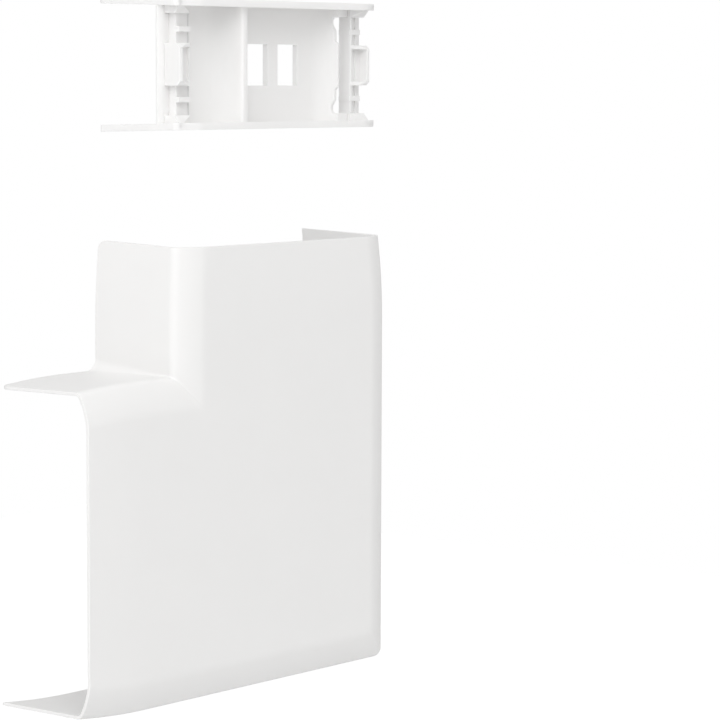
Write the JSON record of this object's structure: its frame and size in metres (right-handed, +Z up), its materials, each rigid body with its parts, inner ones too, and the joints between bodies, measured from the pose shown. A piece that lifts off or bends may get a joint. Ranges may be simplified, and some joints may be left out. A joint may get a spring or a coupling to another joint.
{
  "type": "trunking flat angle",
  "caption": "L-shaped hood with softly rounded long edges that covers a flat right-angle bend of wall trunking, with an open coupling frame that slides into its upper leg.",
  "frame": {"origin": "where the centre lines of the two legs cross, on the wall", "axes": "+Z up along the upper leg, -X along the other leg, +Y into the wall, so that the front face looks along -Y"},
  "size_m": [0.161, 0.042, 0.2466],
  "materials": {
    "white_plastic": "satin",
    "frame_plastic": "satin"
  },
  "bodies": {
    "hood": {"hood": "white_plastic"},
    "coupling_frame": {"coupling_frame": "frame_plastic"}
  },
  "joints": [
    {"name": "frame_slide", "type": "slide", "parent": "hood", "child": "coupling_frame", "axis": [0, 0, 1], "range_m": [-0.0856, 0]}
  ]
}
